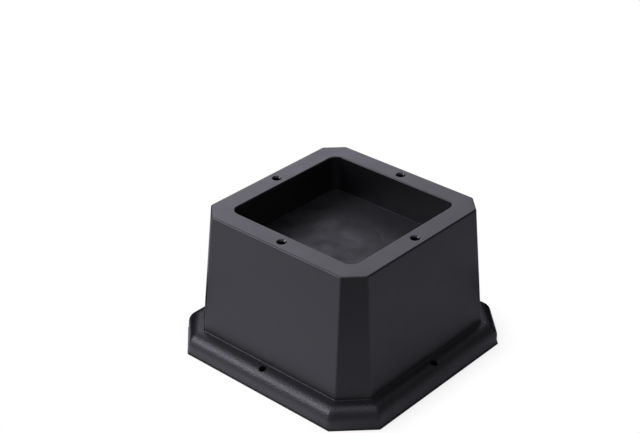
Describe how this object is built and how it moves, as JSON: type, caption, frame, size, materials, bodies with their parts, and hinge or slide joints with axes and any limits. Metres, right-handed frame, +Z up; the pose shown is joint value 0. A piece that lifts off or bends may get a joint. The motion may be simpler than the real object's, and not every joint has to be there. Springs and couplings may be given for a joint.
{
  "type": "bed riser",
  "caption": "Square moulded plastic bed riser with cut corners, a rounded foot flange, a square leg recess in its top and a ribbed hollow underside.",
  "frame": {"origin": "centre of the base, on the surface that the riser stands on", "axes": "+Z up through the middle of the leg recess, X and Y square to the sides"},
  "size_m": [0.1714, 0.1714, 0.1016],
  "materials": {
    "black_plastic": "fine moulded satin grain, coarser on the foot flange"
  },
  "bodies": {
    "root": {"riser_body": "black_plastic"}
  },
  "joints": []
}
